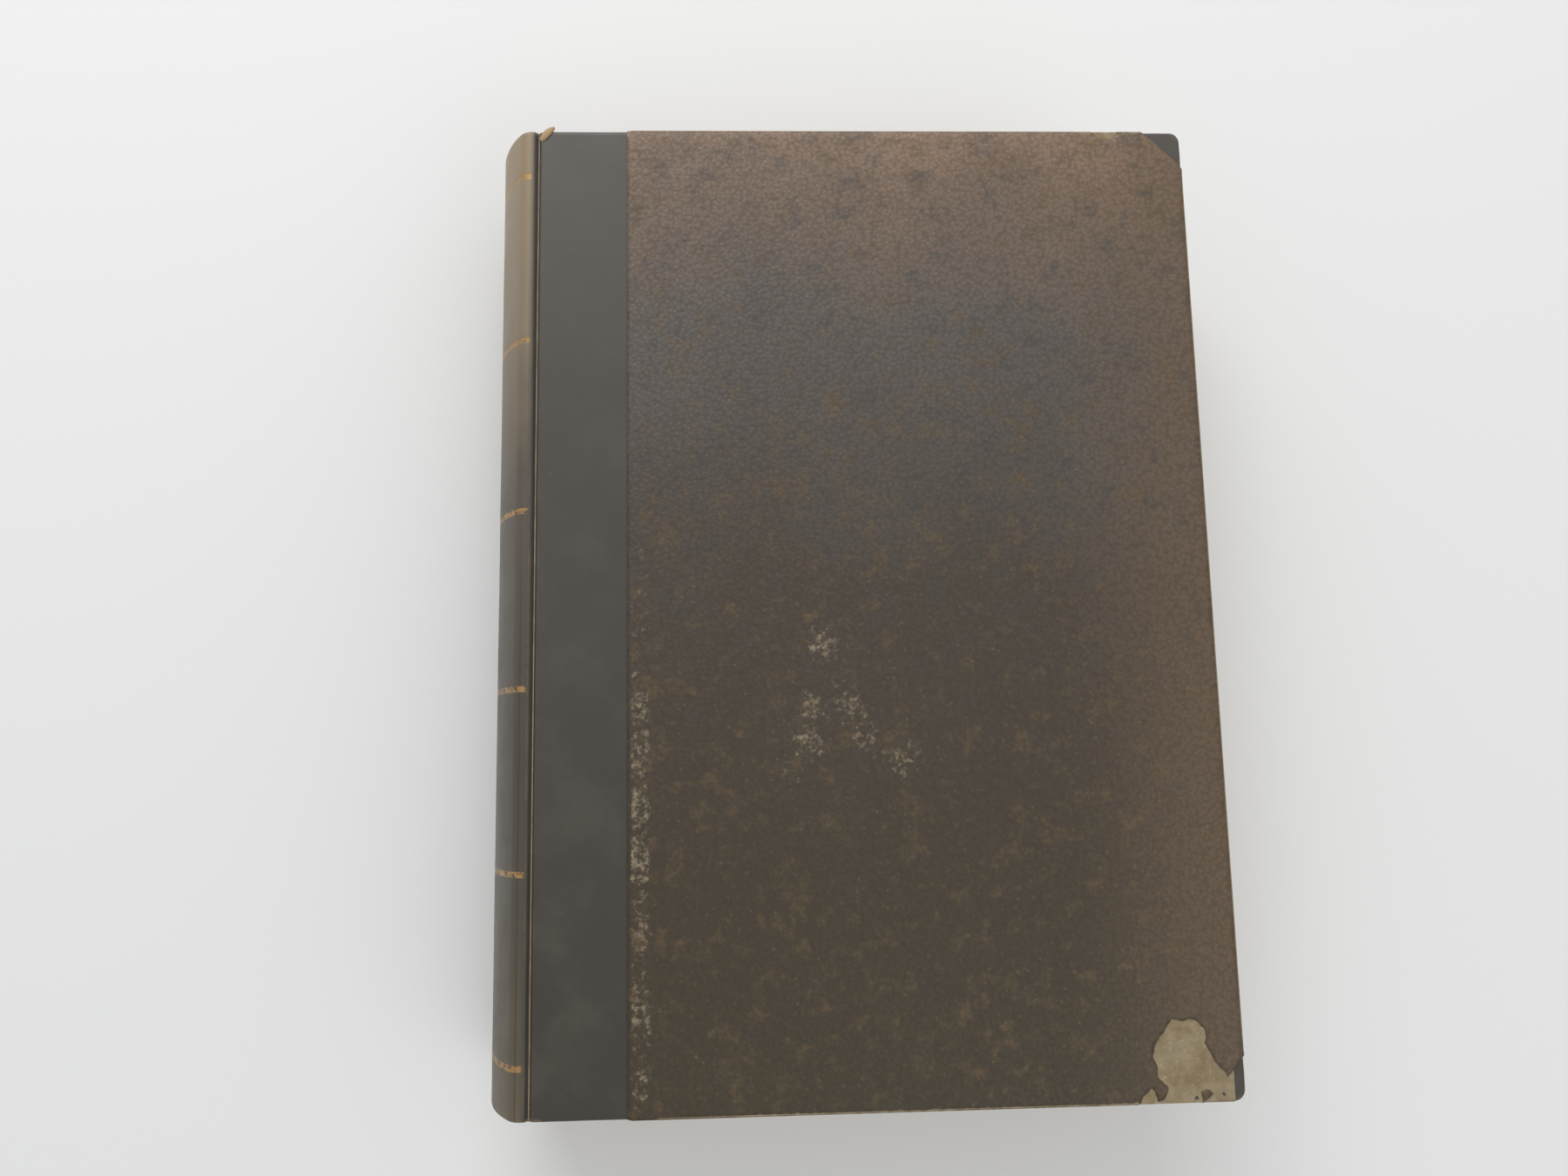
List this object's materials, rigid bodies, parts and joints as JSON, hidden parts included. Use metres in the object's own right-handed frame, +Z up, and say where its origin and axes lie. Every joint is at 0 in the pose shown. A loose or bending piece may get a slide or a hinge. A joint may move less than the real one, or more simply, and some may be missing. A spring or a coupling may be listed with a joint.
{
  "type": "hardback book",
  "caption": "Worn hardback book, half bound: rounded dark leather spine with gilt lines, small leather corners, brown pebbled paper sides, and covers that open.",
  "frame": {"origin": "centre of the bounding box's underside, as the book lies on its back cover", "axes": "+Z up through the front cover, +Y from tail to head, +X from spine to fore-edge"},
  "size_m": [0.17, 0.23, 0.046],
  "materials": {
    "dark_leather": "satin",
    "pebbled_paper": "satin",
    "pasteboard": "matte",
    "pages": "matte",
    "endpaper": "matte",
    "liner_card": "matte",
    "gauze": "matte",
    "hemp_cord": "matte",
    "headband_thread": "satin"
  },
  "bodies": {
    "book_block": {"text_block": "pages", "sewing_cord_1": "hemp_cord", "sewing_cord_2": "hemp_cord", "sewing_cord_3": "hemp_cord", "sewing_cord_4": "hemp_cord", "sewing_cord_5": "hemp_cord", "mull": "gauze", "spine_liner": "liner_card", "spine_leather": "dark_leather", "headband_head": "headband_thread", "headband_tail": "headband_thread", "front_flyleaf": "endpaper", "back_flyleaf": "endpaper"},
    "front_cover": {"front_board": "pasteboard", "front_leather_strip": "dark_leather", "front_side_paper": "pebbled_paper", "front_corner_head": "dark_leather", "front_corner_tail": "dark_leather", "front_pastedown": "endpaper"},
    "back_cover": {"back_board": "pasteboard", "back_leather_strip": "dark_leather", "back_side_paper": "pebbled_paper", "back_corner_head": "dark_leather", "back_corner_tail": "dark_leather", "back_pastedown": "endpaper"}
  },
  "joints": [
    {"name": "front_hinge", "type": "hinge", "parent": "book_block", "child": "front_cover", "pos_m": [-0.0735, 0, 0.046], "axis": [0, -1, 0], "range_deg": [0, 175]},
    {"name": "back_hinge", "type": "hinge", "parent": "book_block", "child": "back_cover", "pos_m": [-0.0735, 0, 0], "axis": [0, 1, 0], "range_deg": [0, 175]}
  ]
}
